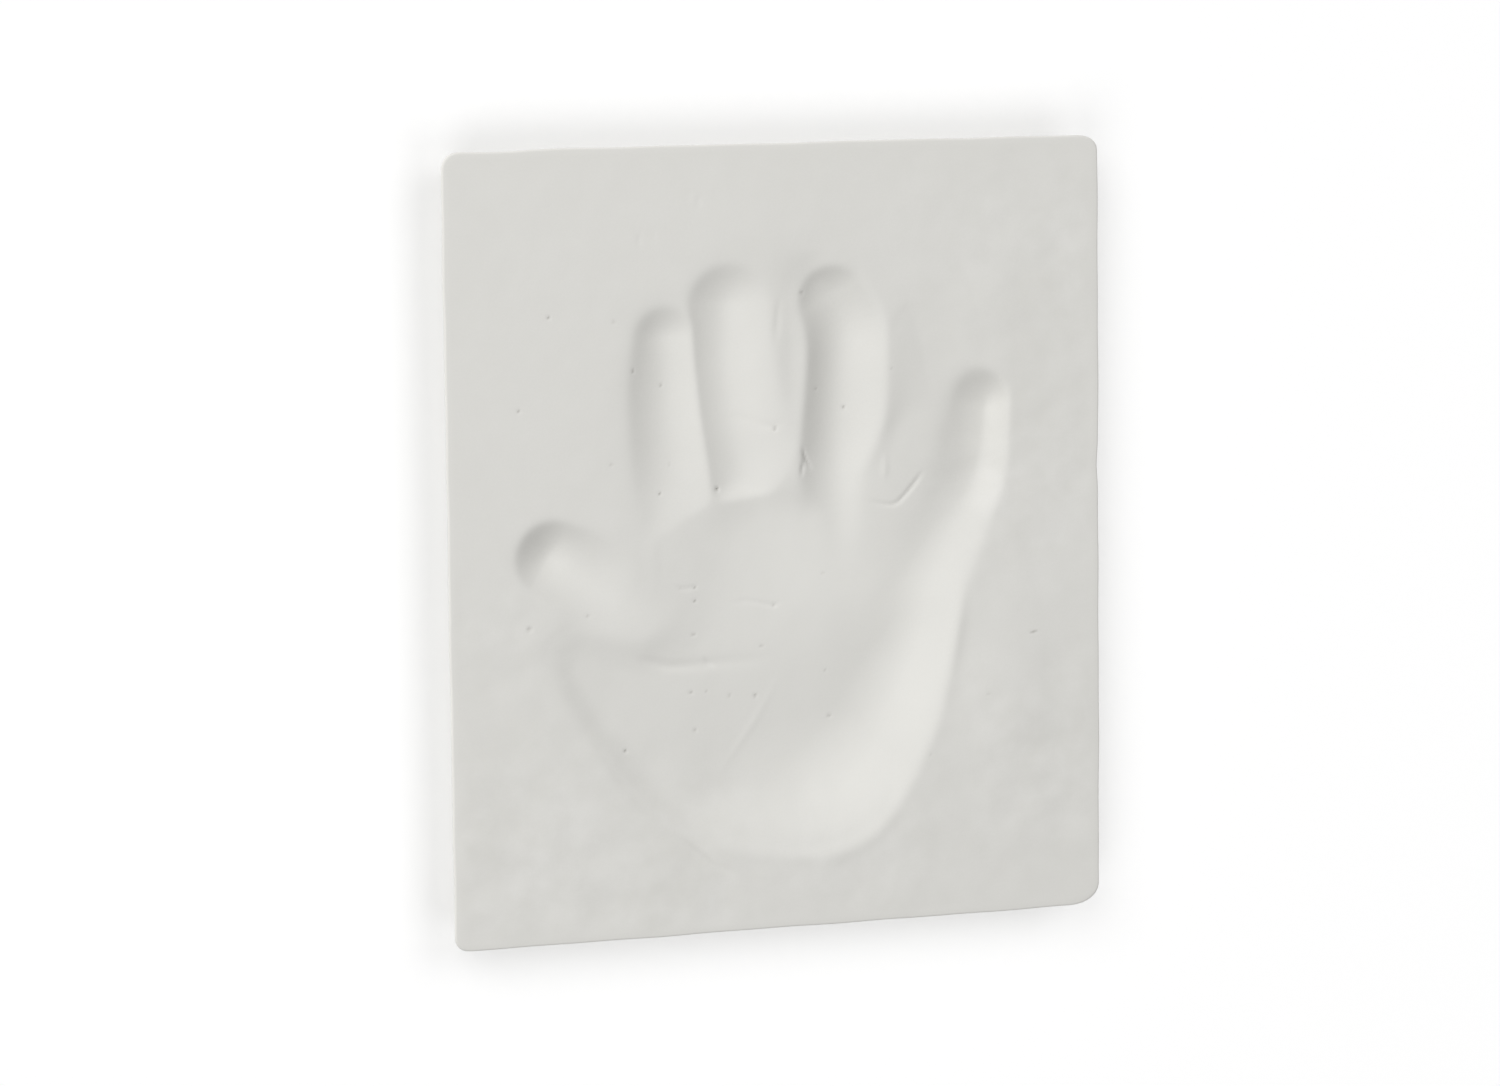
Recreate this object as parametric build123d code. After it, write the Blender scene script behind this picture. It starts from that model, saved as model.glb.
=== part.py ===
from build123d import *
import math
import os

# A keepsake slab of air-dry clay with a small child's right hand pressed into its face.
# Millimetres. The slab lies on its back: X to the right, Y towards the fingertips, Z out of the face.
# The origin is the centre of the box's underside.

# Slab
slab_width = 104.0
slab_height = 120.0
slab_thickness = 9.0
side_draft = 15.0  # degrees that each side leans in towards the back, as clay leaves a tray
top_left_corner_radius = 2.6
top_right_corner_radius = 2.9
bottom_right_corner_radius = 4.4
bottom_left_corner_radius = 2.2
face_edge_worn = 0.3
back_edge_radius = 1.4

# Corners of the slab: right and up of its middle, and how round each is
corners = [
    (-1, 1, top_left_corner_radius),
    (1, 1, top_right_corner_radius),
    (1, -1, bottom_right_corner_radius),
    (-1, -1, bottom_left_corner_radius),
]

# Hand: its length from heel to middle fingertip. Its middle lies on the middle of the face.
hand_length = 90.0

# Each digit: its width at the face and the depth that it was pressed to
index_width = 11.6
index_depth = 2.5
middle_width = 13.4
middle_depth = 2.6
ring_width = 13.6
ring_depth = 3.5
little_width = 9.8
little_depth = 3.4
thumb_width = 14.4
thumb_depth = 4.0

# Sunk web between ring and little finger
web_width = 15.0
web_depth = 2.4

# Palm: depth of its floor under the hand's middle. The floor falls to the right and to the heel.
palm_depth = 2.5
floor_fall_right_share = 1.40
floor_fall_heel_share = 0.90

# Slope of the wall that closes the foot of the index and middle finger, rise over run
index_foot_slope_share = 0.5
middle_foot_slope_share = 1.2

# Stations of each digit from its foot to its tip: place right and up of the hand's middle,
# as shares of the hand's length, half width left and right of the way, as shares of the digit's
# width, and depth as a share of the digit's depth.
index_shares = [
    (-0.170, 0.035, 0.60, 0.42, 0.78),
    (-0.180, 0.130, 0.62, 0.40, 0.88),
    (-0.188, 0.250, 0.58, 0.40, 1.00),
    (-0.195, 0.345, 0.46, 0.38, 0.92),
]
middle_shares = [
    (-0.040, 0.080, 0.57, 0.50, 0.80),
    (-0.050, 0.150, 0.58, 0.55, 0.85),
    (-0.065, 0.225, 0.55, 0.52, 0.85),
    (-0.080, 0.310, 0.52, 0.50, 0.96),
    (-0.085, 0.395, 0.50, 0.50, 1.00),
]
ring_shares = [
    (0.109, -0.090, 0.40, 0.58, 0.66),
    (0.110, 0.010, 0.44, 0.50, 0.78),
    (0.116, 0.100, 0.47, 0.40, 0.86),
    (0.123, 0.230, 0.50, 0.47, 1.00),
    (0.103, 0.385, 0.41, 0.46, 0.97),
]
little_shares = [
    (0.212, -0.155, 0.61, 0.60, 0.62),
    (0.267, -0.055, 0.65, 0.64, 0.82),
    (0.302, 0.000, 0.74, 0.56, 0.91),
    (0.349, 0.100, 0.73, 0.43, 1.00),
    (0.378, 0.205, 0.61, 0.26, 0.97),
]
thumb_shares = [
    (-0.215, -0.065, 0.55, 0.60, 0.10),
    (-0.280, -0.058, 0.54, 0.56, 0.28),
    (-0.335, -0.045, 0.49, 0.51, 0.56),
    (-0.400, -0.018, 0.36, 0.40, 0.88),
]
web_shares = [
    (0.240, 0.055, 0.50, 0.50, 1.00),
    (0.260, 0.165, 0.47, 0.40, 0.80),
    (0.265, 0.255, 0.45, 0.25, 0.40),
]

# Line that closes the foot of a finger, from left to right, as shares of the hand's length
index_foot_shares = ((-0.195, 0.010), (-0.100, 0.070))
middle_foot_shares = ((-0.130, 0.058), (0.050, 0.058))

# Palm: pairs of places, the rim on the face and the foot of the wall below it,
# clockwise from the little finger, as shares of the hand's length
palm_shares = [
    ((0.360, 0.000), (0.255, -0.035)),
    ((0.338, -0.055), (0.220, -0.090)),
    ((0.321, -0.135), (0.195, -0.155)),
    ((0.304, -0.248), (0.155, -0.235)),
    ((0.269, -0.359), (0.095, -0.300)),
    ((0.191, -0.495), (0.035, -0.340)),
    ((0.059, -0.553), (-0.035, -0.360)),
    ((-0.089, -0.527), (-0.110, -0.395)),
    ((-0.200, -0.482), (-0.200, -0.400)),
    ((-0.302, -0.378), (-0.256, -0.333)),
    ((-0.373, -0.269), (-0.322, -0.245)),
    ((-0.411, -0.176), (-0.349, -0.178)),
    ((-0.422, -0.100), (-0.362, -0.122)),
    ((-0.400, -0.033), (-0.344, -0.083)),
    ((-0.356, -0.011), (-0.289, -0.100)),
    ((-0.289, -0.028), (-0.233, -0.122)),
    ((-0.250, -0.033), (-0.200, -0.100)),
    ((-0.242, 0.033), (-0.183, -0.056)),
    ((-0.211, 0.100), (-0.144, -0.044)),
    ((-0.167, 0.125), (-0.089, -0.033)),
    ((-0.067, 0.130), (-0.022, -0.033)),
    ((0.100, 0.130), (0.056, -0.033)),
    ((0.222, 0.100), (0.156, -0.022)),
    ((0.311, 0.070), (0.211, -0.011)),
]

# How the grooves are shaped: each section is a parabola that runs on above the face,
# and each round end is made of sections at these shares of the half width past the last station
rise_share = 0.25
across_shares = (-1.0, -0.5, 0.0, 0.5, 1.0)
round_end_shares = (0.4, 0.75, 1.06)
sections_per_station = 3
wall_run_share = 0.5
wall_depth_share = 0.6


def on_face(place_shares):
    """A place of the hand, given in shares of its length, on the slab's face."""
    right, up = place_shares
    return Vector(right * hand_length, up * hand_length, slab_thickness)


def slab_blank():
    """The slab before the print: sides that lean in towards the back, round corners and worn edges."""
    worn_off = face_edge_worn * math.sin(math.radians(side_draft))
    outline = Rectangle(slab_width + 2 * worn_off, slab_height + 2 * worn_off)
    block = extrude(outline, slab_thickness)
    sides = block.faces().filter_by(Axis.Z, reverse=True)
    block = draft(sides, Plane.XY.offset(slab_thickness), -side_draft)
    for right, up, radius in corners:
        corner = Vector(right * slab_width / 2, up * slab_height / 2, slab_thickness / 2)
        upright = block.edges().filter_by_position(Axis.Z, 0, slab_thickness, inclusive=(False, False))
        block = fillet(upright.sort_by_distance(corner)[0], radius)
    block = chamfer(block.faces().sort_by(Axis.Z)[-1].edges(), face_edge_worn)
    return fillet(block.faces().sort_by(Axis.Z)[0].edges(), back_edge_radius)


def section(place, way, size, past_share):
    """One cross-section of a groove, upright and square to the way, so far past its place."""
    left, right, depth = size
    sideways = Vector(way.Y, -way.X, 0)
    centre = place + way * past_share * (left + right) / 2
    reach = math.sqrt(1 + rise_share - past_share**2)
    points = []
    for across in across_shares:
        share = across * reach
        half_width = right if across > 0 else left
        height = -depth * (1 - past_share**2 - share**2)
        points.append(centre + sideways * share * half_width + Vector(0, 0, height))
    return make_face(Spline(*points) + Line(points[-1], points[0]))


def between(start, end, share):
    return start + (end - start) * share


def groove(stations, width, depth, round_foot=False):
    """The form of one digit, which runs from its foot to its round tip and stands above the face."""
    last = len(stations) - 1
    places = [on_face(station[:2]) for station in stations]
    sizes = [Vector(left * width, right * width, deep * depth) for _, _, left, right, deep in stations]
    ways = [(places[min(n + 1, last)] - places[max(n - 1, 0)]).normalized() for n in range(last + 1)]
    faces = []
    if round_foot:
        faces += [section(places[0], ways[0], sizes[0], -past) for past in reversed(round_end_shares)]
    for n in range(last):
        for step in range(sections_per_station):
            share = step / sections_per_station
            place = between(places[n], places[n + 1], share)
            way = between(ways[n], ways[n + 1], share).normalized()
            faces.append(section(place, way, between(sizes[n], sizes[n + 1], share), 0))
    faces += [section(places[last], ways[last], sizes[last], past) for past in (0, *round_end_shares)]
    return loft(faces)


def close_foot(form, foot_shares, slope_share):
    """Ends a finger's form at a sloping wall that climbs back to the face along its foot."""
    start, end = (on_face(shares) for shares in foot_shares)
    way = (end - start).normalized()
    towards_tip = Vector(-way.Y, way.X, 0)
    normal = Vector(0, 0, 1) + towards_tip * slope_share
    return split(form, bisect_by=Plane(origin=start, x_dir=way, z_dir=normal), keep=Keep.TOP)


def floor_depth(place_shares):
    """How deep the palm's sloping floor lies under a place of the hand."""
    right, up = place_shares
    return palm_depth * (1 + floor_fall_right_share * right - floor_fall_heel_share * up)


def palm():
    """The palm's form: a wall from its rim down to a sloping floor."""
    above, brim, middle, foot = [], [], [], []
    lift = palm_depth * rise_share
    for rim_shares, foot_shares in palm_shares:
        rim_place = on_face(rim_shares)
        run = on_face(foot_shares) - rim_place
        depth = floor_depth(foot_shares)
        wall_drop = depth * wall_depth_share
        above.append(rim_place - run * wall_run_share * lift / wall_drop + Vector(0, 0, lift))
        brim.append(rim_place)
        middle.append(rim_place + run * wall_run_share - Vector(0, 0, wall_drop))
        foot.append(rim_place + run - Vector(0, 0, depth))
    rings = [Wire([Edge.make_spline(ring, periodic=True)]) for ring in (above, brim, middle, foot)]
    return Solid.make_loft(rings)


def handprint_slab():
    """The slab with the print of each digit and of the palm pressed into it."""
    index = groove(index_shares, index_width, index_depth)
    middle = groove(middle_shares, middle_width, middle_depth)
    forms = [
        palm(),
        close_foot(index, index_foot_shares, index_foot_slope_share),
        close_foot(middle, middle_foot_shares, middle_foot_slope_share),
        groove(ring_shares, ring_width, ring_depth),
        groove(little_shares, little_width, little_depth),
        groove(thumb_shares, thumb_width, thumb_depth, round_foot=True),
        groove(web_shares, web_width, web_depth, round_foot=True),
    ]
    slab = slab_blank()
    for form in forms:
        slab -= form
    return slab


slab = handprint_slab()
print("volume", slab.volume, "valid", slab.is_valid, "solids", len(slab.solids()))
os.makedirs("parts", exist_ok=True)
export_step(slab, "parts/handprint_slab.step")
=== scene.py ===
import bpy
import math
import numpy as np
from mathutils import Matrix, Vector


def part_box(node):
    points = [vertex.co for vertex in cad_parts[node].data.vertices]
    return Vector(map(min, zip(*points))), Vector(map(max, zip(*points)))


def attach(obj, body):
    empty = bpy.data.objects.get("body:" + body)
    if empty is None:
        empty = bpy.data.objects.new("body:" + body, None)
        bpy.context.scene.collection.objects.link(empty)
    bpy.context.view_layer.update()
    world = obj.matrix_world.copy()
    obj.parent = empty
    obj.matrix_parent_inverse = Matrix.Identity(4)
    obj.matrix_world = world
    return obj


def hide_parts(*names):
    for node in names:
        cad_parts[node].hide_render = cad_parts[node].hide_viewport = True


# A keepsake slab of air-dry clay with a small child's right hand pressed into its face.
# The frame is the CAD's: X to the right, Y towards the fingertips, Z out of the face.
# The tables below are in millimetres, from the middle of the face. Meshes are in metres.

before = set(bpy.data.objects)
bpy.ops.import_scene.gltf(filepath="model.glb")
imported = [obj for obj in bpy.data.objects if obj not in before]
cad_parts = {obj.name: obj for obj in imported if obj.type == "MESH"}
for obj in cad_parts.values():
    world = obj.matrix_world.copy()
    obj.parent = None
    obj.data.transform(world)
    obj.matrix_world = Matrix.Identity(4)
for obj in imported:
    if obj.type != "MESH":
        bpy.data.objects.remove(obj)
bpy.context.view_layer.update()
NODE = "handprint_slab"
MM = 0.001

# Slab
node_low, node_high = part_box(NODE)
WIDTH, HEIGHT, THICKNESS = (side / MM for side in node_high - node_low)
SWELL_ROOM = 0.5            # the face lies this far under the CAD's, so that swollen clay stays inside it
FACE = THICKNESS - SWELL_ROOM
SIDE_DRAFT = math.radians(18.3)
FACE_EDGE_RADIUS = 0.32
BACK_EDGE_RADIUS = 1.4
# Each corner: right and up of the middle, and its radius along the width and along the height
CORNERS = [
    (-1, 1, 2.6, 2.4),
    (1, 1, 3.4, 2.2),
    (1, -1, 5.0, 3.4),
    (-1, -1, 2.2, 2.0),
]

# The straight edges, cut by hand: how far each is drawn in, the waves on it, and its dents,
# each with its side (-1 for left or bottom, 1 for right or top), middle, reach and depth
EDGE_DRAWN_IN = 0.09
EDGE_WAVE_HEIGHT = 0.03
EDGE_WAVE_LENGTHS = (52, 27, 14)
EDGE_FADE_POWER = 12        # how fast the waves fade from an edge towards the slab's middle
LEFT_RIGHT_DENTS = [(1, 9.0, 2.4, 0.25)]
BOTTOM_TOP_DENTS = [(1, -44.0, 6.0, 0.3)]
LEFT_RIGHT_WAVE_SEED = 11
BOTTOM_TOP_WAVE_SEED = 21

# Net of the slab's mesh: fine over the hand, coarse round it
HAND_LEFT, HAND_RIGHT, HAND_BOTTOM, HAND_TOP = -42.5, 38.5, -51.5, 43.5
FINE_STEP = 0.345
COARSE_STEP = 0.85
ROUND_EDGE_STEPS = 6        # rings of the mesh round each of the slab's two round edges
LINE_STEPS = 6              # straight runs of a smooth line from one of its points to the next

# Each digit from its foot to its tip: place, half width left and right of the way, and depth
DIGITS = {
    "index": [
        (-15.4, 3, 6.4, 4.9, 1.1),
        (-16.2, 9, 6.8, 5.6, 1.6),
        (-17.1, 16, 6.5, 5.8, 2.0),
        (-17.5, 24, 6.2, 5.5, 2.1),
        (-17.8, 30.8, 5.0, 5.0, 1.8),
    ],
    "middle": [
        (-5.8, 8, 5.4, 8.6, 1.7),
        (-6.2, 14, 6.1, 8.5, 1.8),
        (-7.4, 21, 6.2, 8.0, 2.0),
        (-8.2, 28, 6.2, 7.6, 2.0),
        (-8.0, 35.6, 6.2, 6.6, 1.9),
    ],
    "ring": [
        (11.0, -6, 6.0, 7.0, 1.2),
        (10.4, 1, 6.0, 6.6, 1.7),
        (9.8, 9, 6.5, 6.2, 2.3),
        (10.2, 17, 6.4, 7.2, 2.8),
        (10.8, 26, 6.2, 6.6, 2.9),
        (11.0, 31.5, 6.6, 6.0, 2.9),
        (9.2, 35.7, 5.8, 5.3, 2.3),
    ],
    "little": [
        (18.0, -13, 6.0, 8.0, 2.0),
        (23.0, -4, 6.8, 7.6, 2.3),
        (28.2, 2.8, 8.6, 5.4, 2.0),
        (32.4, 9, 9.6, 3.6, 2.4),
        (34.2, 18.4, 8.1, 2.5, 2.5),
    ],
    "thumb": [
        (-19.0, -10.5, 8.0, 4.5, 0.2),
        (-26.0, -7.8, 7.4, 5.2, 0.85),
        (-31.0, -4.4, 6.2, 6.8, 1.8),
        (-35.5, -1.2, 6.2, 5.6, 2.7),
    ],
}
# How round each digit's left and right side is: a low number means a straight wall and a tight bottom
ROUND = {
    "index": (2.0, 2.0),
    "middle": (2.0, 0.5),
    "ring": (3.0, 1.5),
    "little": (2.0, 2.0),
    "thumb": (0.8, 0.8),
}
# Walls that close the feet of two fingers: start and end of each one's line on the face, and its slope
FEET = {
    "index": [((-20.5, 0.5), (-9.5, 5.0), 0.25)],
    "middle": [((-11.0, 5.6), (0.0, 4.4), 0.55), ((-1.4, 3.4), (5.4, 9.6), 0.9)],
}

# How softly two surfaces meet: at each hollow's lip, where the walls at one foot meet, where they meet
# the finger's bottom, and where each digit runs into the palm, worked in this order
LIP_SOFTNESS = {"index": 0.5, "middle": 0.32, "palm": 0.3}
WALLS_SOFTNESS = 0.6
FOOT_SOFTNESS = {"index": 0.8, "middle": 0.6}
PALM_SOFTNESS = {"little": 0.6, "thumb": 0.3, "ring": 0.5}

# Palm: its rim on the face and the foot of its wall, clockwise from the little finger
PALM_RIM = [
    (33.4, 4), (32.4, 0), (30.4, -5), (28.9, -12.3), (27.6, -22.3), (24.4, -32.3), (17.2, -44.6),
    (5.3, -49.8), (-8, -47.4), (-18, -43.4), (-27.2, -34), (-33.6, -24.2), (-36.8, -17.5),
    (-37.0, -14.5), (-34.5, -12.2), (-31.0, -11.2), (-27, -12.2), (-23, -13), (-20, -10), (-19, -4),
    (-19.5, 2), (-20, 8), (-17.5, 14), (-13.5, 12), (-11.2, 7.0), (-9.5, 10), (-6, 18), (-2, 18),
    (1.8, 13), (3.4, 9.5), (5.2, 13), (9, 14), (15.5, 17), (17.5, 24), (18.5, 31), (21, 34.5),
    (25, 33.5), (28.5, 29.5), (31.5, 24.5), (34, 19), (35.2, 14), (34.8, 9),
]
PALM_FOOT = [
    (27, 4), (23, -3), (19.6, -8), (17.6, -14), (13.4, -20), (9.0, -27.0), (4, -31.5), (-2, -34.5),
    (-10, -37.5), (-18, -36.0), (-24, -29.0), (-29.4, -22.5), (-32.0, -18.2), (-29.5, -18),
    (-25, -19.5), (-20, -20), (-13, -17), (-8, -10), (-7, -4), (-6.5, 0.5), (-5, 2), (0, 3), (5, 2.5),
    (11, 6), (18, 11), (20.5, 16.5), (24, 18), (28, 17), (29.5, 12), (29, 8),
]
# Depths that the palm's pads and the hollows between them were pressed to: place and depth
PALM_DEPTHS = [
    (-22, -2, 0.1), (-14, -3, 0.5), (-5, 2, 0.9), (5, 2, 1.4), (12, 0, 1.5), (20, -3, 2.1),
    (-12, -10, 0.8), (0, -8, 1.1), (10, -10, 1.5), (17, -12, 2.3), (-28, -16, 1.0), (-15, -16, 1.2),
    (-5, -16, 1.4), (5, -17, 1.9), (13, -21, 3.0), (-28, -22, 1.3), (-20, -25, 1.7), (-8, -26, 2.3),
    (2, -27, 2.8), (8, -29, 3.4), (-18, -34, 1.9), (-8, -36, 2.7), (2, -36, 3.3), (28, -14, 4.0),
    (24, -34, 4.6), (8, -48, 2.6), (-30, -32, 1.4), (-6, -46, 2.1), (14, -40, 4.0), (19, 6, 1.3),
    (19, 13, 1.0), (27, 12, 0.9), (22, 30, 1.3), (29, 4, 1.5),
]
STRAIGHT_SHARE = 0.45       # the palm's wall is straight for this share of its run, then it rounds out
# Outside its rim the palm's surface runs on above the face, up to this height over this run
RUN_ON_HEIGHT = 1.2
RUN_ON = 4.0
BEYOND = 9.0                # deeper than any hollow, and as high as any surface runs on

# Painted light: patches where the hollows of the palm and middle finger are painted paler, to stand in
# for light there: place, reach, and how strong
PAINTED_LIGHT_PATCHES = [
    (1, -7, 21, 1.0), (16, -9, 13, 1.0), (24, -24, 14, 1.0), (10, -38, 14, 0.9), (-6, 24, 13, 0.55),
]
PAINTED_LIGHT_DEPTH = 1.2         # from this depth on, the painted light is at its full strength

# Swellings, and hollows with less than no height: place, reach across and along, turn in degrees, height
SWELLINGS = [
    (38.0, -23.0, 5.5, 13.0, -6, 0.36),      # clay pushed up right of the palm
    (28.5, -21.0, 3.5, 9.0, -8, -0.35),      # top of the palm's right wall
    (-3.0, 47.0, 14.0, 6.5, 0, 0.20),        # clay pushed up beyond the fingertips
    (5.0, 39.5, 3.0, 3.0, 0, -0.5),          # hollow beside the ring fingertip
    (2.2, 26.0, 2.2, 12.0, 0, -0.30),        # web between middle and ring finger
    (-15.0, -37.5, 4.5, 3.5, 0, 0.18),       # two pads of the heel
    (-3.0, -36.0, 4.0, 3.0, 0, 0.16),
    (36.0, 33.0, 5.0, 7.0, 0, 0.18),         # clay pushed up beyond the little fingertip
]

# Patches where the face dried unevenly: place, reach, and how strong
UNEVEN = [
    (-42, -48, 26, 1.0), (-20, -56, 24, 0.9), (14, -57, 22, 0.8), (44, -36, 20, 1.0),
    (44, 8, 20, 0.9), (44, 40, 22, 0.8), (-46, -14, 14, 0.6), (24, 50, 16, 0.4),
]
LEAST_UNEVEN = 0.2

# Towards the slab's edge the print's height and the uneven skin fade out over these widths
PRINT_FADE = 3.0
UNEVEN_FADE = 2.0
# How often the net's heights, and the shares of painted light in the hollows, are blurred
HEIGHT_BLURS = 2
PAINTED_LIGHT_BLURS = 6

# Creases: the points that each line goes through, with its half width and depth there.
# A fold stands up from the clay, so its depth is less than none.
CREASES = [
    # foot of the web between ring and little finger
    [(14.6, 5.2, 0.25, 0.0), (16.4, 4.5, 0.28, 0.12), (18.8, 4.3, 0.28, 0.18), (20.2, 5.2, 0.28, 0.24),
     (22.3, 7.6, 0.28, 0.24), (23.6, 9.4, 0.22, 0.0)],
    # notch with two branches between the feet of middle and ring finger
    [(3.8, 14.0, 0.22, 0.0), (4.2, 12.4, 0.28, 0.4), (4.9, 11.2, 0.28, 0.3), (5.7, 10.3, 0.22, 0.0)],
    [(4.2, 12.2, 0.22, 0.0), (3.8, 10.6, 0.28, 0.3), (3.6, 9.0, 0.22, 0.0)],
    # long crease across the palm, under the thumb
    [(-23.0, -17.0, 0.5, 0.0), (-20.0, -18.0, 0.8, 0.14), (-16.4, -18.7, 0.8, 0.18),
     (-8, -18.6, 1.0, 0.10), (-1.0, -18.4, 0.7, 0.0)],
    # faint fold from the palm's middle down to the heel
    [(0.4, -21.0, 0.5, 0.0), (-2.4, -26.0, 0.6, -0.05), (-5.0, -30.0, 0.6, -0.06),
     (-10.0, -36.4, 0.5, 0.0)],
    # joint of the middle finger
    [(-8.0, 19.2, 0.5, 0.0), (-4.5, 18.3, 0.7, 0.06), (-1.5, 17.2, 0.6, 0.08), (1.2, 17.8, 0.4, 0.0)],
    # web between middle and ring finger
    [(-0.4, 29.0, 0.5, 0.0), (-0.1, 33.0, 0.5, 0.12), (0.3, 37.0, 0.4, 0.0)],
    # broad swell outside the palm's lower left rim, and the crease along that rim
    [(-44.0, -20.0, 3.5, 0.0), (-35.0, -33.0, 3.2, -0.26), (-25.0, -43.0, 3.0, -0.26),
     (-12.0, -51.5, 3.0, 0.0)],
    [(-30.0, -29.0, 0.6, 0.0), (-25.0, -36.6, 0.8, 0.10), (-19.0, -42.6, 0.8, 0.14),
     (-13.5, -47.0, 0.8, 0.22), (-10.5, -49.6, 0.6, 0.18), (-7.6, -51.4, 0.4, 0.0)],
    # raised lip along the palm's right rim and round the heel
    [(29.6, -8.0, 1.1, 0.0), (28.6, -15.0, 1.2, -0.28), (27.0, -23.0, 1.2, -0.14),
     (24.0, -32.3, 1.4, -0.10), (17.6, -43.6, 1.3, -0.18), (12.0, -47.8, 1.3, -0.20),
     (5.0, -49.2, 1.3, -0.20), (-4.0, -48.2, 1.3, -0.16), (-10.0, -46.0, 1.0, 0.0)],
    # skin creases in the palm
    [(-12.0, -17.6, 0.25, 0.0), (-11.2, -18.5, 0.3, 0.16), (-10.0, -19.2, 0.25, 0.0)],
    [(-17.0, -6.2, 0.2, 0.0), (-15.0, -6.9, 0.25, 0.12), (-12.8, -6.4, 0.2, 0.0)],
    [(-8.2, -9.6, 0.2, 0.0), (-5.0, -9.3, 0.3, 0.07), (-1.0, -10.2, 0.3, 0.10), (0.4, -9.6, 0.2, 0.0)],
    # small fold in the web between ring and little finger
    [(17.3, 7.8, 0.3, 0.0), (17.3, 10.0, 0.5, -0.12), (17.3, 12.4, 0.3, 0.0)],
    # scratches on the face beyond the fingertips
    [(-15.2, 52.6, 0.2, 0.0), (-13.2, 52.1, 0.25, 0.12), (-11.8, 51.3, 0.25, 0.10),
     (-9.8, 51.0, 0.2, 0.0)],
    [(-22.6, 46.8, 0.2, 0.0), (-21.8, 46.0, 0.25, 0.14), (-20.6, 45.1, 0.2, 0.0)],
    [(-20.2, 47.6, 0.2, 0.0), (-19.6, 47.1, 0.22, 0.10), (-19.0, 46.5, 0.2, 0.0)],
]
# Painted shade in a crease: none down to the first depth, and at its darkest this much deeper
SHADE_START_DEPTH = 0.15
SHADE_RAMP_DEPTH = 0.5

# Pits left by air bubbles and grit: place, radius, depth
PITS = [
    (-0.5, 16.8, 0.36, 0.40), (-9.8, 8, 0.48, 0.48), (-39.6, -11.7, 0.40, 0.40),
    (-36, 34.9, 0.24, 0.24), (-25.8, 34, 0.32, 0.20), (-40.8, 21.2, 0.28, 0.24),
    (-44.7, 19.9, 0.24, 0.24), (-48, 17.9, 0.24, 0.24), (-22.8, 26.4, 0.40, 0.24),
    (-18, 24, 0.32, 0.16), (-26.5, 12.4, 0.32, 0.20), (-18.7, 7.7, 0.28, 0.20),
    (11.3, 19.3, 0.32, 0.32), (18.3, 25.3, 0.24, 0.16), (6.3, 22.5, 0.32, 0.24),
    (-30.3, -10.3, 0.32, 0.24), (-0.7, -10.3, 0.32, 0.28), (8.7, -28.1, 0.32, 0.32),
    (-13.3, -28.9, 0.32, 0.32), (-24.5, -31.2, 0.36, 0.36), (23.9, -34.5, 0.28, 0.20),
    (7.3, -5.7, 0.24, 0.20), (7.8, -21, 0.24, 0.20), (-13.5, -6.7, 0.32, 0.16),
    (-13.5, -8.8, 0.32, 0.16), (-13.7, -14, 0.32, 0.24), (-15.8, -6.8, 0.24, 0.16),
    (-14, -22.9, 0.32, 0.20), (-11.5, -22.8, 0.24, 0.16), (-7.8, -23.8, 0.32, 0.24),
    (-3.5, -24.1, 0.40, 0.20), (-2.7, -16.3, 0.32, 0.20), (3.9, 37.2, 0.40, 0.24),
    (-17, 12, 0.24, 0.12), (33.5, -25.7, 0.24, 0.12), (41, -16.4, 0.24, 0.12),
]

# The clay's skin: length and height of its long waves and of its short ripples
WAVE_LENGTH, WAVE_HEIGHT = 24.0, 0.25
RIPPLE_LENGTH, RIPPLE_HEIGHT = 8.0, 0.38
SKIN_SEED = 3.0

# Sizes of the clay's patterns. Real grains of about 0.05 mm are drawn at 0.3 mm, so that they show.
DRYING_PATCH = 14.0
MOTTLE = 3.2
GRAIN = 0.3
MOTTLE_BUMP = 0.06
GRAIN_BUMP = 0.03

# Studio: each lamp's azimuth and elevation in degrees, distance in metres and power in watts
SOFTBOX = (140, 48, 1.8, 22.8)
TABLE_LAMPS = [(45, 56, 2.2, 10.6), (135, 46, 2.2, 12.6), (225, 48, 2.2, 10.8), (315, 58, 2.2, 9.8)]
LAMP_WIDTH_SHARE = 0.75     # a lamp's width as a share of its distance
SKY_STRENGTH = 0.39
TABLE_GLOW = 0.09
TABLE_HALF_WIDTH_M = 1.5


def smooth_line(points, closed=False):
    """A smooth line through the points, a Catmull-Rom curve."""
    points = np.array(points, float)
    count = len(points)
    spans = count if closed else count - 1
    share = np.linspace(0, 1, LINE_STEPS, endpoint=False)[:, None]
    pieces = []
    for n in range(spans):
        places = [n - 1, n, n + 1, n + 2]
        if closed:
            places = [place % count for place in places]
        else:
            places = [min(max(place, 0), count - 1) for place in places]
        before, start, end, after = points[places]
        pieces.append(0.5 * (2 * start + (end - before) * share
                             + (2 * before - 5 * start + 4 * end - after) * share**2
                             + (3 * start - before - 3 * end + after) * share**3))
    if not closed:
        pieces.append(points[-1:])
    return np.concatenate(pieces)


def beside_run(x, y, start, end):
    """Of each point beside a straight run: its share of the way, and its distance."""
    way_x, way_y = end[0] - start[0], end[1] - start[1]
    share = np.clip(((x - start[0]) * way_x + (y - start[1]) * way_y) / (way_x**2 + way_y**2), 0, 1)
    return share, np.hypot(x - start[0] - share * way_x, y - start[1] - share * way_y)


def distance_to_loop(x, y, loop):
    """How far each point lies from a closed loop."""
    nearest = np.full(x.shape, np.inf)
    for start, end in zip(loop, np.roll(loop, -1, axis=0)):
        nearest = np.minimum(nearest, beside_run(x, y, start, end)[1])
    return nearest


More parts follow.
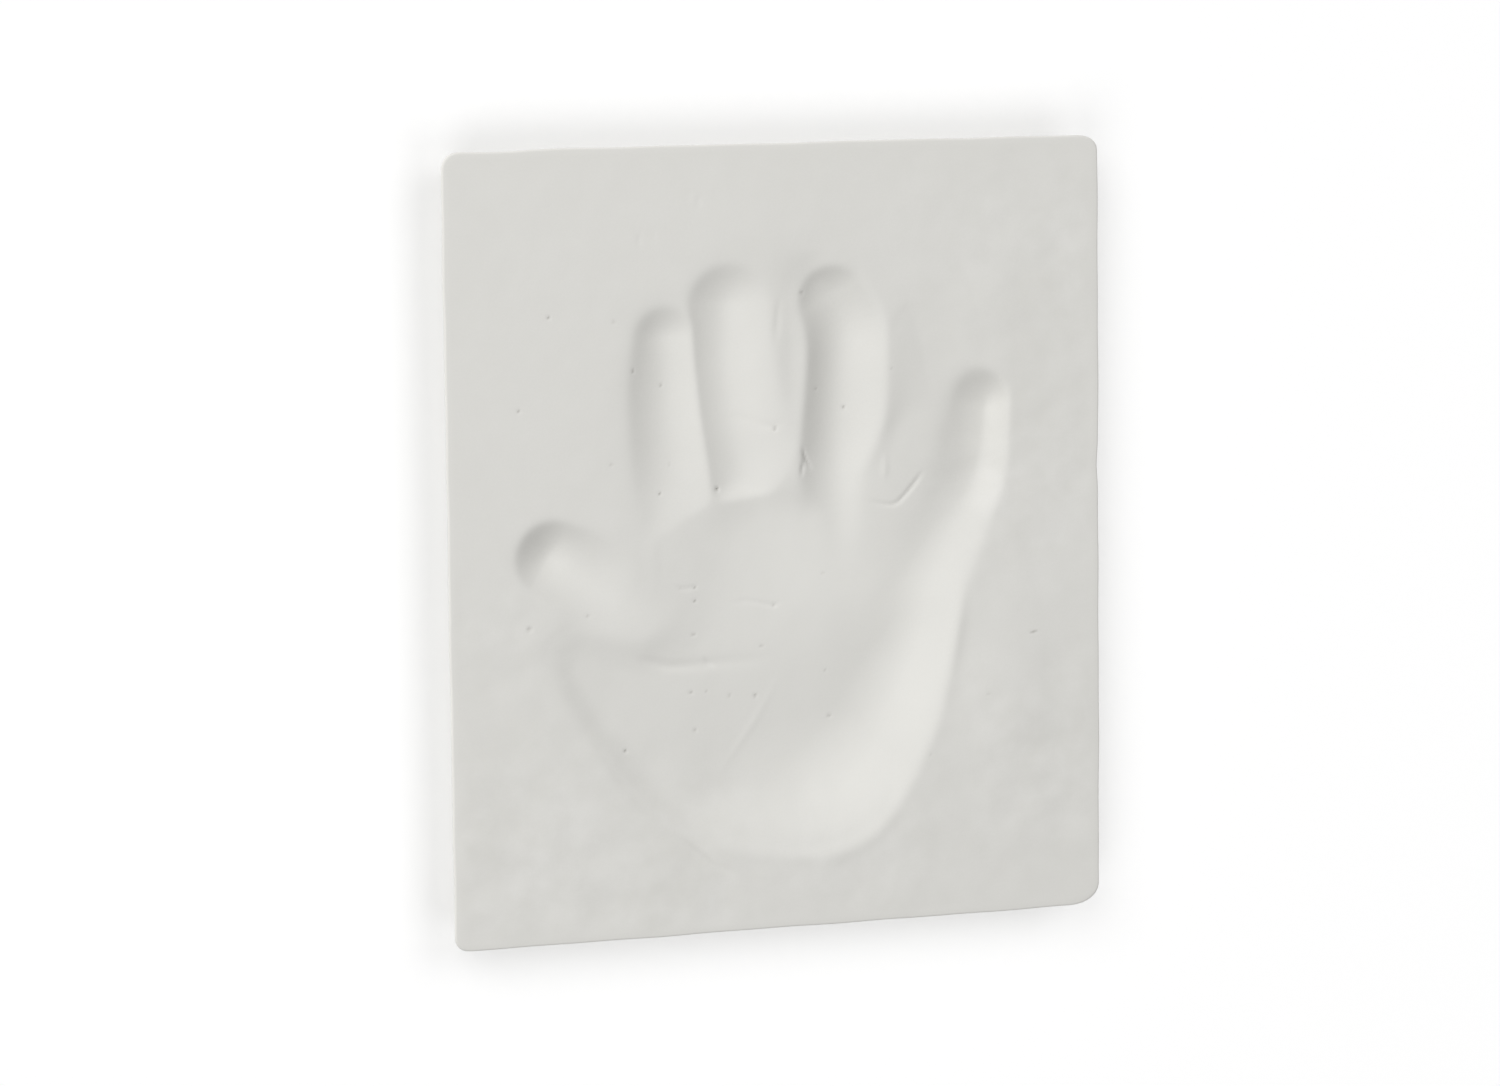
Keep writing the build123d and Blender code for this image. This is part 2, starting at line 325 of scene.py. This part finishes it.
def inside_loop(x, y, loop):
    """True where a point lies inside a closed loop."""
    inside = np.zeros(x.shape, bool)
    for (start_x, start_y), (end_x, end_y) in zip(loop, np.roll(loop, -1, axis=0)):
        if start_y == end_y:
            continue
        crossing = start_x + (end_x - start_x) * (y - start_y) / (end_y - start_y)
        inside ^= ((start_y > y) != (end_y > y)) & (x < crossing)
    return inside


def soft_least(one, other, softness):
    """The lesser of two depths, with the line where they meet rounded."""
    return 0.5 * (one + other - np.sqrt((one - other)**2 + softness**2))


def soft_most(one, other, softness):
    """The greater of two depths, with the line where they meet rounded."""
    return -soft_least(-one, -other, softness)


def soft_lip(depth, softness):
    """No depth outside a hollow, with a lip this soft."""
    return 0.5 * (depth + np.sqrt(depth**2 + softness**2))


def strongest(x, y, patches, least=0.0):
    """How strong the strongest of some round patches, which fade outwards, is at each point."""
    strong = np.full(x.shape, least)
    for patch_x, patch_y, reach, strength in patches:
        strong = np.maximum(strong, strength * np.exp(-((x - patch_x)**2 + (y - patch_y)**2) / reach**2))
    return strong


def swelling(x, y, place_x, place_y, reach_x, reach_y, turn, height):
    """Height of one swelling, which fades out all round its middle."""
    angle = math.radians(turn)
    across = (x - place_x) * math.cos(angle) + (y - place_y) * math.sin(angle)
    along = (y - place_y) * math.cos(angle) - (x - place_x) * math.sin(angle)
    return height * np.exp(-(across / reach_x)**2 - (along / reach_y)**2)


def crease_depth(x, y, points):
    """Depth of a crease whose half width and depth change along its way. A fold has less than none."""
    line = smooth_line(points)
    depth = np.zeros(x.shape)
    for start, end in zip(line[:-1], line[1:]):
        share, distance = beside_run(x, y, start, end)
        half_width, middle = (start[n] + (end[n] - start[n]) * share for n in (2, 3))
        here = middle * np.exp(-(distance / half_width)**2)
        depth = np.where(np.abs(here) > np.abs(depth), here, depth)
    return depth


def groove_depth(x, y, stations, roundness):
    """Depth of a digit's groove, with its own half width on each side of the way. It is less than none
    beside the groove, where its walls run on above the face."""
    deepest = np.full(x.shape, -BEYOND)
    line = smooth_line(stations)
    for start, end in zip(line[:-1], line[1:]):
        share, distance = beside_run(x, y, start, end)
        way_x, way_y = end[0] - start[0], end[1] - start[1]
        to_right = ((x - start[0]) * way_y - (y - start[1]) * way_x) / math.hypot(way_x, way_y)
        # the hair of distance keeps a point on the line from a division by none
        rightness = np.clip(0.5 + 0.5 * to_right / (distance + 1e-6), 0, 1)
        left, right, depth = ((start[n] + (end[n] - start[n]) * share) for n in (2, 3, 4))
        half_width = left * (1 - rightness) + right * rightness
        share_out = distance / half_width
        bend = roundness[0] * (1 - rightness) + roundness[1] * rightness
        climb = (1 + bend) * share_out**2 / (share_out + bend)
        deepest = np.maximum(deepest, depth * (1 - climb))
    return deepest


def foot_depth(x, y, walls):
    """Depth under the sloping walls that climb back to the face along a finger's foot."""
    shallowest = np.full(x.shape, BEYOND)
    for (start_x, start_y), (end_x, end_y), slope in walls:
        way_x, way_y = end_x - start_x, end_y - start_y
        here = slope * ((y - start_y) * way_x - (x - start_x) * way_y) / math.hypot(way_x, way_y)
        shallowest = soft_least(shallowest, here, WALLS_SOFTNESS)
    return shallowest


def digit_depth(x, y, name):
    """Depth of one digit's hollow, closed at its foot where walls do that."""
    depth = groove_depth(x, y, DIGITS[name], ROUND[name])
    if name in FEET:
        depth = soft_least(depth, foot_depth(x, y, FEET[name]), FOOT_SOFTNESS[name])
    return depth


def smooth_through(x, y, given):
    """A thin plate bent smoothly through the given depths."""
    places = np.array(given, float)
    given_x, given_y, values = places.T

    def bend(from_x, from_y):
        """How much each given point bends the plate at a place."""
        square = (from_x[..., None] - given_x)**2 + (from_y[..., None] - given_y)**2
        # none at the given point itself, where the hair keeps the logarithm defined
        return square * np.log(square + 1e-9)

    flat = np.stack([np.ones(len(places)), given_x, given_y], -1)
    rows = np.block([[bend(given_x, given_y), flat], [flat.T, np.zeros((3, 3))]])
    weights = np.linalg.solve(rows, np.concatenate([values, np.zeros(3)]))
    return bend(x, y) @ weights[:-3] + weights[-3] + weights[-2] * x + weights[-1] * y


def palm_depth(x, y):
    """Depth of the palm: a wall from its rim down to a floor that swells between the hand's pads."""
    rim = smooth_line(PALM_RIM, closed=True)
    foot = smooth_line(PALM_FOOT, closed=True)
    to_rim = distance_to_loop(x, y, rim)
    to_foot = distance_to_loop(x, y, foot)
    down = np.where(inside_loop(x, y, foot), 1.0, to_rim / (to_rim + to_foot))
    steepest = 2 / (1 + STRAIGHT_SHARE)
    curve = 1 - steepest * (1 - down)**2 / (2 * (1 - STRAIGHT_SHARE))
    wall = np.where(down < STRAIGHT_SHARE, steepest * down, curve)
    outside = -RUN_ON_HEIGHT * np.clip(to_rim / RUN_ON, 0, 1)
    return np.where(inside_loop(x, y, rim), smooth_through(x, y, PALM_DEPTHS) * wall, outside)


def print_height(x, y):
    """Height of the printed face over the slab's flat face."""
    palm = palm_depth(x, y)
    for name, softness in PALM_SOFTNESS.items():
        palm = soft_most(palm, digit_depth(x, y, name), softness)
    depths = {"index": digit_depth(x, y, "index"), "middle": digit_depth(x, y, "middle"), "palm": palm}
    height = -np.maximum.reduce([soft_lip(depth, LIP_SOFTNESS[name]) for name, depth in depths.items()])
    for swell in SWELLINGS:
        height += swelling(x, y, *swell)
    return height


def painted_light_share(x, y):
    """How much painted light each point gets in the hollows of the palm and the middle finger, more where
    they are deeper: none on the face.
    """
    deep = np.maximum(palm_depth(x, y), digit_depth(x, y, "middle"))
    return strongest(x, y, PAINTED_LIGHT_PATCHES) * np.clip(deep / PAINTED_LIGHT_DEPTH, 0, 1)


def blur(grid, passes):
    """Rounds the sharp lines of a grid of values, as the clay's own grain does."""
    for _ in range(passes):
        for axis in (0, 1):
            padded = np.pad(grid, [(1, 1) if n == axis else (0, 0) for n in (0, 1)], mode="edge")
            low, high = [slice(None)] * 2, [slice(None)] * 2
            low[axis], high[axis] = slice(0, -2), slice(2, None)
            grid = 0.5 * grid + 0.25 * (padded[tuple(low)] + padded[tuple(high)])
    return grid


def net_lines(low, high, fine_low, fine_high):
    """Where the net's lines run along one axis."""
    before = np.linspace(low, fine_low, math.ceil((fine_low - low) / COARSE_STEP), endpoint=False)
    fine = np.linspace(fine_low, fine_high, math.ceil((fine_high - fine_low) / FINE_STEP), endpoint=False)
    after = np.linspace(fine_high, high, math.ceil((high - fine_high) / COARSE_STEP) + 1)
    return np.concatenate([before, fine, after])


def corner_radii(x, y):
    """The radii of the corner in whose quarter of the slab each point lies."""
    along_width = np.zeros(x.shape)
    along_height = np.zeros(x.shape)
    for right, up, radius_x, radius_y in CORNERS:
        here = (np.where(x >= 0, 1, -1) == right) & (np.where(y >= 0, 1, -1) == up)
        along_width[here] = radius_x
        along_height[here] = radius_y
    return along_width, along_height


def round_corners(x, y, half_width, half_height):
    """Draws the net's square corners in to the slab's round ones."""
    radius_x, radius_y = corner_radii(x, y)
    over_x = np.abs(x) - (half_width - radius_x)
    over_y = np.abs(y) - (half_height - radius_y)
    in_corner = (over_x > 0) & (over_y > 0)
    share_x = np.where(in_corner, over_x / radius_x, 1)
    share_y = np.where(in_corner, over_y / radius_y, 1)
    pull = np.maximum(share_x, share_y) / np.hypot(share_x, share_y)
    round_x = np.where(in_corner, np.sign(x) * (half_width - radius_x + over_x * pull), x)
    round_y = np.where(in_corner, np.sign(y) * (half_height - radius_y + over_y * pull), y)
    return round_x, round_y


def drawn_in(along, across, half, dents, seed):
    """How far each point is drawn in from the two edges that lie across: their waves and their dents."""
    inward = np.zeros(along.shape)
    for side in (-1, 1):
        phases = np.random.default_rng(seed + side).uniform(0, 2 * math.pi, len(EDGE_WAVE_LENGTHS))
        wave = sum(EDGE_WAVE_HEIGHT * np.sin(2 * math.pi * along / length + phase)
                   for length, phase in zip(EDGE_WAVE_LENGTHS, phases))
        inward = np.where(np.sign(across) == side, EDGE_DRAWN_IN + wave, inward)
    for side, middle, reach, depth in dents:
        inward += np.where(np.sign(across) == side, depth * np.exp(-((along - middle) / reach)**2), 0)
    return np.sign(across) * inward * np.clip(np.abs(across) / half, 0, 1)**EDGE_FADE_POWER


def wavy_outline(x, y):
    """Draws the slab's straight edges in here and there, as a knife's cut and a thumb leave them."""
    from_sides = drawn_in(y, x, WIDTH / 2, LEFT_RIGHT_DENTS, LEFT_RIGHT_WAVE_SEED)
    from_ends = drawn_in(x, y, HEIGHT / 2, BOTTOM_TOP_DENTS, BOTTOM_TOP_WAVE_SEED)
    return x - from_sides, y - from_ends


def outward(x, y):
    """Which way an outline point moves when the outline grows by one, with its corner radii kept."""
    radius_x, radius_y = corner_radii(x, y)
    span_x = WIDTH / 2 - FACE_EDGE_RADIUS - radius_x
    span_y = HEIGHT / 2 - FACE_EDGE_RADIUS - radius_y
    return np.clip(x / span_x, -1, 1), np.clip(y / span_y, -1, 1)


def edge_profile():
    """The slab's side from the face to the back, as rings: how far each lies out from the widest line,
    which is less than none inside it, and its height."""
    face_centre = (-FACE_EDGE_RADIUS, FACE - FACE_EDGE_RADIUS)
    slant = (math.cos(SIDE_DRAFT), -math.sin(SIDE_DRAFT))
    reach = face_centre[0] * slant[0] + face_centre[1] * slant[1] + FACE_EDGE_RADIUS - BACK_EDGE_RADIUS
    back_centre = ((reach - BACK_EDGE_RADIUS * slant[1]) / slant[0], BACK_EDGE_RADIUS)
    quarter = math.radians(90)
    arcs = [
        (face_centre, FACE_EDGE_RADIUS, quarter, -SIDE_DRAFT - quarter),
        (back_centre, BACK_EDGE_RADIUS, -SIDE_DRAFT, SIDE_DRAFT - quarter),
    ]
    profile = []
    for (centre_out, centre_up), radius, start, turn in arcs:
        for step in range(ROUND_EDGE_STEPS + 1):
            angle = start + turn * step / ROUND_EDGE_STEPS
            profile.append((centre_out + radius * math.cos(angle), centre_up + radius * math.sin(angle)))
    return profile


def printed_face():
    """The net of the printed face: the places of its points, and each one's share of painted shade in the
    creases, of painted light in the hollows, and of uneven skin."""
    half_width = WIDTH / 2 - FACE_EDGE_RADIUS
    half_height = HEIGHT / 2 - FACE_EDGE_RADIUS
    columns = net_lines(-half_width, half_width, HAND_LEFT, HAND_RIGHT)
    rows = net_lines(-half_height, half_height, HAND_BOTTOM, HAND_TOP)
    square_x, square_y = np.meshgrid(columns, rows)
    x, y = round_corners(square_x, square_y, half_width, half_height)
    to_edge = np.minimum(half_width - np.abs(square_x), half_height - np.abs(square_y))
    height = blur(print_height(x, y), HEIGHT_BLURS) * np.clip(to_edge / PRINT_FADE, 0, 1)
    # Painted shade: each crease is painted grey, more where it is deeper
    painted_shade = np.zeros(x.shape)
    for points in CREASES:
        depth = crease_depth(x, y, points)
        height -= depth
        painted_shade = np.maximum(painted_shade, np.clip((depth - SHADE_START_DEPTH) / SHADE_RAMP_DEPTH, 0, 1))
    # Shares: painted shade in the creases, painted light in the hollows, and the skin's own unevenness
    shares = {
        "crease_shade": painted_shade,
        "painted_light": blur(painted_light_share(x, y), PAINTED_LIGHT_BLURS),
        "uneven": strongest(x, y, UNEVEN, LEAST_UNEVEN) * np.clip(to_edge / UNEVEN_FADE, 0, 1),
    }
    x, y = wavy_outline(x, y)
    return np.stack([x, y, FACE + height], -1), shares


def slab_mesh():
    """The slab as one closed mesh: the printed face, the leaning sides with worn edges, and the back."""
    face, shares = printed_face()
    count = np.arange(face[..., 0].size).reshape(face.shape[:2])
    cells = [count[:-1, :-1], count[:-1, 1:], count[1:, 1:], count[1:, :-1]]
    quads = [np.stack(cells, -1).reshape(-1, 4)]
    places = [face.reshape(-1, 3)]
    border = np.concatenate([count[0, :-1], count[:-1, -1], count[-1, :0:-1], count[:0:-1, 0]])
    border_x, border_y, _ = places[0][border].T
    way_x, way_y = outward(border_x, border_y)
    upper = border
    total = count.size
    for out, ring_height in edge_profile()[1:]:
        grow = out + FACE_EDGE_RADIUS
        ring = [border_x + way_x * grow, border_y + way_y * grow, np.full(border.size, ring_height)]
        places.append(np.stack(ring, -1))
        lower = np.arange(total, total + border.size)
        total += border.size
        quads.append(np.stack([upper, lower, np.roll(lower, -1), np.roll(upper, -1)], -1))
        upper = lower
    places.append(np.zeros((1, 3)))
    back = [(total, int(after), int(here)) for here, after in zip(upper, np.roll(upper, -1))]
    places = np.concatenate(places)
    mesh = bpy.data.meshes.new("handprint_clay")
    mesh.from_pydata((places * MM).tolist(), [], np.concatenate(quads).tolist() + back)
    for name, values in shares.items():
        padded = np.zeros(len(places))
        padded[:values.size] = values.reshape(-1)
        attribute = mesh.attributes.new(name, "FLOAT", "POINT")
        attribute.data.foreach_set("value", padded.astype(np.float32))
    mesh.shade_smooth()
    return mesh


def linear(srgb_hex):
    """An sRGB hex colour as the linear colour that shaders take."""
    shares = [int(srgb_hex[n:n + 2], 16) / 255 for n in (0, 2, 4)]
    return [c / 12.92 if c <= 0.04045 else ((c + 0.055) / 1.055)**2.4 for c in shares] + [1.0]


def add_node(tree, kind, settings=None, links=None):
    """Adds a node with its settings, which are properties or inputs, and links outputs to its inputs.
    An input is named, or counted from 0 where a node has several of one name, as Math and Mix have."""
    node = tree.nodes.new(kind)
    for name, value in (settings or {}).items():
        if isinstance(name, str) and hasattr(node, name):
            setattr(node, name, value)
        else:
            node.inputs[name].default_value = value
    for name, output in (links or {}).items():
        tree.links.new(output, node.inputs[name])
    return node


def clay_colour(tree, drying, mottle, grain):
    """The clay's colour: two near tones of off-white in patches, which part from each other where the
    clay dried unevenly, with darker grains, a paler tone painted into the hollows as painted light, and
    grey painted shade in creases and pits."""
    uneven, painted_light, crease_shade, pit = [
        add_node(tree, "ShaderNodeAttribute", {"attribute_name": name}).outputs["Fac"]
        for name in ("uneven", "painted_light", "crease_shade", "pit")]
    patches = add_node(tree, "ShaderNodeMix", {"data_type": "FLOAT", 0: 0.4},
                       {2: drying, 3: mottle}).outputs[0]
    low, high = [
        add_node(tree, "ShaderNodeMath", {"operation": "MULTIPLY_ADD", 1: part, 2: 0.5},
                 {0: uneven}).outputs[0]
        for part in (-0.5, 0.5)]
    tone = add_node(tree, "ShaderNodeMapRange", {"From Min": 0.35, "From Max": 0.65},
                    {"Value": patches, "To Min": low, "To Max": high}).outputs[0]
    colour = add_node(tree, "ShaderNodeMix",
                      {"data_type": "RGBA", 6: linear("E1E0DB"), 7: linear("E9E8E4")},
                      {0: tone}).outputs[2]
    speck = add_node(tree, "ShaderNodeMapRange", {"From Min": 0.25, "From Max": 0.75, "To Max": 0.10},
                     {"Value": grain}).outputs[0]
    # Painted light: the hollows of the palm and middle finger are painted paler
    painted_light_tint = add_node(tree, "ShaderNodeMath", {"operation": "MULTIPLY", 1: 0.6},
                        {0: painted_light}).outputs[0]
    # Painted shade: creases and pits are painted grey, more where they are deeper
    painted_shade = add_node(tree, "ShaderNodeMath", {"operation": "MAXIMUM"}, {0: crease_shade, 1: pit}).outputs[0]
    painted_shade_share = add_node(tree, "ShaderNodeMath", {"operation": "MULTIPLY", 1: 0.5},
                          {0: painted_shade}).outputs[0]
    # Tints in turn: darker grains, the paler painted light, and the grey painted shade
    for tint, share in (("D3D1CB", speck), ("F1F0EB", painted_light_tint), ("8A867E", painted_shade_share)):
        colour = add_node(tree, "ShaderNodeMix", {"data_type": "RGBA", 7: linear(tint)},
                          {0: share, 6: colour}).outputs[2]
    return colour


def air_dry_clay():
    """Air-dry clay, pressed and left to dry: chalky off-white, quite matt, finely grained, softly
    mottled where it dried unevenly, a little paler in the hollows of the palm as painted light, and grey
    in creases and pits as painted shade."""
    material = bpy.data.materials.new("air_dry_clay")
    material.use_nodes = True
    tree = material.node_tree
    shader = tree.nodes["Principled BSDF"]
    place = add_node(tree, "ShaderNodeTexCoord").outputs["Object"]
    in_mm = add_node(tree, "ShaderNodeVectorMath", {"operation": "SCALE", "Scale": 1 / MM},
                     {0: place}).outputs[0]
    drying, mottle, grain = [
        add_node(tree, "ShaderNodeTexNoise", {"Scale": 1 / size, "Detail": detail, "Roughness": rough},
                 {"Vector": in_mm}).outputs["Fac"]
        for size, detail, rough in ((DRYING_PATCH, 3.0, 0.55), (MOTTLE, 2.0, 0.5), (GRAIN, 2.0, 0.6))]
    matt = add_node(tree, "ShaderNodeMapRange", {"To Min": 0.86, "To Max": 0.97},
                    {"Value": mottle}).outputs[0]
    fine = add_node(tree, "ShaderNodeBump", {"Strength": 0.35, "Distance": GRAIN_BUMP * MM},
                    {"Height": grain}).outputs[0]
    coarse = add_node(tree, "ShaderNodeBump", {"Strength": 0.4, "Distance": MOTTLE_BUMP * MM},
                      {"Height": mottle, "Normal": fine}).outputs[0]
    tree.links.new(clay_colour(tree, drying, mottle, grain), shader.inputs["Base Color"])
    tree.links.new(matt, shader.inputs["Roughness"])
    tree.links.new(coarse, shader.inputs["Normal"])
    shader.inputs["Specular IOR Level"].default_value = 0.3
    return material


def pit_points():
    """The pits as loose points with their radius and depth, for the clay's skin to be pitted at."""
    mesh = bpy.data.meshes.new("pit_points")
    x, y, radius, depth = np.array(PITS).T
    height = print_height(x[None, :], y[None, :])[0]
    mesh.from_pydata((np.stack([x, y, FACE + height], -1) * MM).tolist(), [], [])
    for name, values in (("pit_radius", radius), ("pit_depth", depth)):
        attribute = mesh.attributes.new(name, "FLOAT", "POINT")
        attribute.data.foreach_set("value", (values * MM).astype(np.float32))
    return bpy.data.objects.new("pit_points", mesh)


def skin_waves(tree, given):
    """How far long waves and short ripples move the clay's skin: noise from -1 to 1, each with its own
    length and height, and only as far as the skin is uneven."""
    place = add_node(tree, "GeometryNodeInputPosition").outputs[0]
    offsets = []
    for kind in ("Wave", "Ripple"):
        often = add_node(tree, "ShaderNodeMath", {"operation": "DIVIDE", 0: 1.0},
                         {1: given[kind + " Length"]}).outputs[0]
        noise = add_node(tree, "ShaderNodeTexNoise", {"noise_dimensions": "4D", "Detail": 1.0},
                         {"Vector": place, "W": given["Seed"], "Scale": often}).outputs["Fac"]
        signed = add_node(tree, "ShaderNodeMath", {"operation": "MULTIPLY_ADD", 1: 2.0, 2: -1.0},
                          {0: noise}).outputs[0]
        offsets.append(add_node(tree, "ShaderNodeMath", {"operation": "MULTIPLY"},
                                {0: signed, 1: given[kind + " Height"]}).outputs[0])
    wave, ripple = offsets
    both = add_node(tree, "ShaderNodeMath", {"operation": "ADD"}, {0: wave, 1: ripple}).outputs[0]
    uneven = add_node(tree, "GeometryNodeInputNamedAttribute",
                      {"data_type": "FLOAT", "Name": "uneven"}).outputs[0]
    return add_node(tree, "ShaderNodeMath", {"operation": "MULTIPLY"}, {0: both, 1: uneven}).outputs[0]


def skin_pits(tree, given):
    """The pits, round hollows that fade at their edges: at each place of the skin how far it lies in
    the nearest one, from 0 at its edge to 1 at its middle, and how deep that one is."""
    cloud = add_node(tree, "GeometryNodeObjectInfo", {}, {"Object": given["Pits"]}).outputs["Geometry"]
    distance = add_node(tree, "GeometryNodeProximity", {"target_element": "POINTS"},
                        {0: cloud}).outputs["Distance"]
    nearest = add_node(tree, "GeometryNodeSampleNearest", {}, {"Geometry": cloud}).outputs[0]
    sizes = []
    for name in ("pit_radius", "pit_depth"):
        stored = add_node(tree, "GeometryNodeInputNamedAttribute",
                          {"data_type": "FLOAT", "Name": name}).outputs[0]
        sizes.append(add_node(tree, "GeometryNodeSampleIndex", {"data_type": "FLOAT"},
                              {"Geometry": cloud, "Value": stored, "Index": nearest}).outputs[0])
    radius, depth = sizes
    hollow = add_node(tree, "ShaderNodeMapRange",
                      {"interpolation_type": "SMOOTHSTEP", "From Min": 0.0, "To Min": 1.0, "To Max": 0.0},
                      {"Value": distance, "From Max": radius}).outputs[0]
    return hollow, depth


def clay_skin():
    """Geometry nodes for the clay's skin: it waves softly, and it is pitted at each point of a cloud."""
    tree = bpy.data.node_groups.new("clay_skin", "GeometryNodeTree")
    inputs = {
        "Slab": "NodeSocketGeometry",
        "Pits": "NodeSocketObject",
        "Clay": "NodeSocketMaterial",
        "Wave Length": "NodeSocketFloat",
        "Wave Height": "NodeSocketFloat",
        "Ripple Length": "NodeSocketFloat",
        "Ripple Height": "NodeSocketFloat",
        "Seed": "NodeSocketFloat",
    }
    for name, kind in inputs.items():
        tree.interface.new_socket(name, in_out="INPUT", socket_type=kind)
    tree.interface.new_socket("Skin", in_out="OUTPUT", socket_type="NodeSocketGeometry")
    given = add_node(tree, "NodeGroupInput").outputs
    waves = skin_waves(tree, given)
    hollow, depth = skin_pits(tree, given)
    sunk = add_node(tree, "ShaderNodeMath", {"operation": "MULTIPLY"}, {0: hollow, 1: depth}).outputs[0]
    moved = add_node(tree, "ShaderNodeMath", {"operation": "SUBTRACT"}, {0: waves, 1: sunk}).outputs[0]
    offset = add_node(tree, "ShaderNodeCombineXYZ", {}, {"Z": moved}).outputs[0]
    # the material greys the pits from this share, as painted shade
    pitted = add_node(tree, "GeometryNodeStoreNamedAttribute",
                      {"data_type": "FLOAT", "domain": "POINT", "Name": "pit"},
                      {"Geometry": given["Slab"], "Value": hollow}).outputs[0]
    skin = add_node(tree, "GeometryNodeSetPosition", {},
                    {"Geometry": pitted, "Offset": offset}).outputs[0]
    real = add_node(tree, "GeometryNodeRealizeInstances", {}, {"Geometry": skin}).outputs[0]
    done = add_node(tree, "GeometryNodeSetMaterial", {},
                    {"Geometry": real, "Material": given["Clay"]}).outputs[0]
    add_node(tree, "NodeGroupOutput", {}, {"Skin": done})
    return tree


def handprint_clay():
    """The slab's visible clay: its mesh with the skin's waves and pits worked in."""
    clay = bpy.data.objects.new("handprint_clay", slab_mesh())
    pits = pit_points()
    for piece in (clay, pits):
        bpy.context.scene.collection.objects.link(piece)
    modifier = clay.modifiers.new("skin", "NODES")
    modifier.node_group = clay_skin()
    values = {
        "Pits": pits,
        "Clay": air_dry_clay(),
        "Wave Length": WAVE_LENGTH * MM,
        "Wave Height": WAVE_HEIGHT * MM,
        "Ripple Length": RIPPLE_LENGTH * MM,
        "Ripple Height": RIPPLE_HEIGHT * MM,
        "Seed": SKIN_SEED,
    }
    for item in modifier.node_group.interface.items_tree:
        if item.name in values:
            modifier[item.identifier] = values[item.name]
    bpy.context.view_layer.update()
    evaluated = clay.evaluated_get(bpy.context.evaluated_depsgraph_get())
    skin = bpy.data.meshes.new_from_object(evaluated)
    clay.modifiers.clear()
    clay.data = skin
    bpy.data.objects.remove(pits)
    return clay


def soft_lamp(name, receiver, azimuth, elevation, distance, power):
    """A round soft lamp that lights only its receiver."""
    lamp = bpy.data.lights.new(name, "AREA")
    lamp.shape = "DISK"
    lamp.size = LAMP_WIDTH_SHARE * distance
    lamp.energy = power
    lamp_object = bpy.data.objects.new(name, lamp)
    bpy.context.scene.collection.objects.link(lamp_object)
    azimuth, elevation = math.radians(azimuth), math.radians(elevation)
    level = math.cos(elevation)
    towards = Vector((math.cos(azimuth) * level, math.sin(azimuth) * level, math.sin(elevation)))
    lamp_object.location = towards * distance
    lamp_object.rotation_euler = towards.to_track_quat("Z", "Y").to_euler()
    lit = bpy.data.collections.new(name + "_lights")
    lit.objects.link(receiver)
    lamp_object.light_linking.receiver_collection = lit


def light_table():
    """A pale light table that the slab lies on, which glows a little by itself."""
    half = TABLE_HALF_WIDTH_M
    corners = [(-half, -half, 0), (half, -half, 0), (half, half, 0), (-half, half, 0)]
    mesh = bpy.data.meshes.new("floor")
    mesh.from_pydata(corners, [], [(0, 1, 2, 3)])
    material = bpy.data.materials.new("floor")
    material.use_nodes = True
    shader = material.node_tree.nodes["Principled BSDF"]
    shader.inputs["Base Color"].default_value = linear("F3F3F3")
    shader.inputs["Roughness"].default_value = 0.9
    shader.inputs["Emission Color"].default_value = linear("FFFFFF")
    shader.inputs["Emission Strength"].default_value = TABLE_GLOW
    mesh.materials.append(material)
    floor = bpy.data.objects.new("floor", mesh)
    bpy.context.scene.collection.objects.link(floor)
    return floor


def studio_light(clay, floor):
    """An even sky, a soft lamp from the upper left for the clay, and four weak ones round the table,
    so that the slab's shade on it is soft and even on all sides."""
    world = bpy.data.worlds.new("studio")
    world.use_nodes = True
    sky = world.node_tree.nodes["Background"]
    sky.inputs["Color"].default_value = linear("FFFFFF")
    sky.inputs["Strength"].default_value = SKY_STRENGTH
    bpy.context.scene.world = world
    soft_lamp("softbox", clay, *SOFTBOX)
    for lamp in TABLE_LAMPS:
        soft_lamp("table_lamp", floor, *lamp)
    bpy.context.scene.view_settings.view_transform = "Standard"


def camera():
    """The photograph's view, from the left and a little above, through a long lens. Place, turn and
    lens were fitted to the four corners of the slab's face."""
    lens = bpy.data.cameras.new("camera")
    lens.lens = 122.285
    lens.sensor_width = 36
    lens.sensor_fit = "HORIZONTAL"
    viewer = bpy.data.objects.new("camera", lens)
    right = (0.95017504, -0.01080079, 0.31152966)
    up = (0.04919691, 0.99207014, -0.11565682)
    back = (-0.30781009, 0.12522052, 0.94317165)
    turn = Matrix((right, up, back)).transposed().to_4x4()
    viewer.matrix_world = Matrix.Translation((-0.24203, 0.096133, 0.726723 + FACE * MM)) @ turn
    bpy.context.scene.collection.objects.link(viewer)
    bpy.context.scene.camera = viewer


clay = handprint_clay()
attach(clay, "root")
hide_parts(NODE)
studio_light(clay, light_table())
camera()
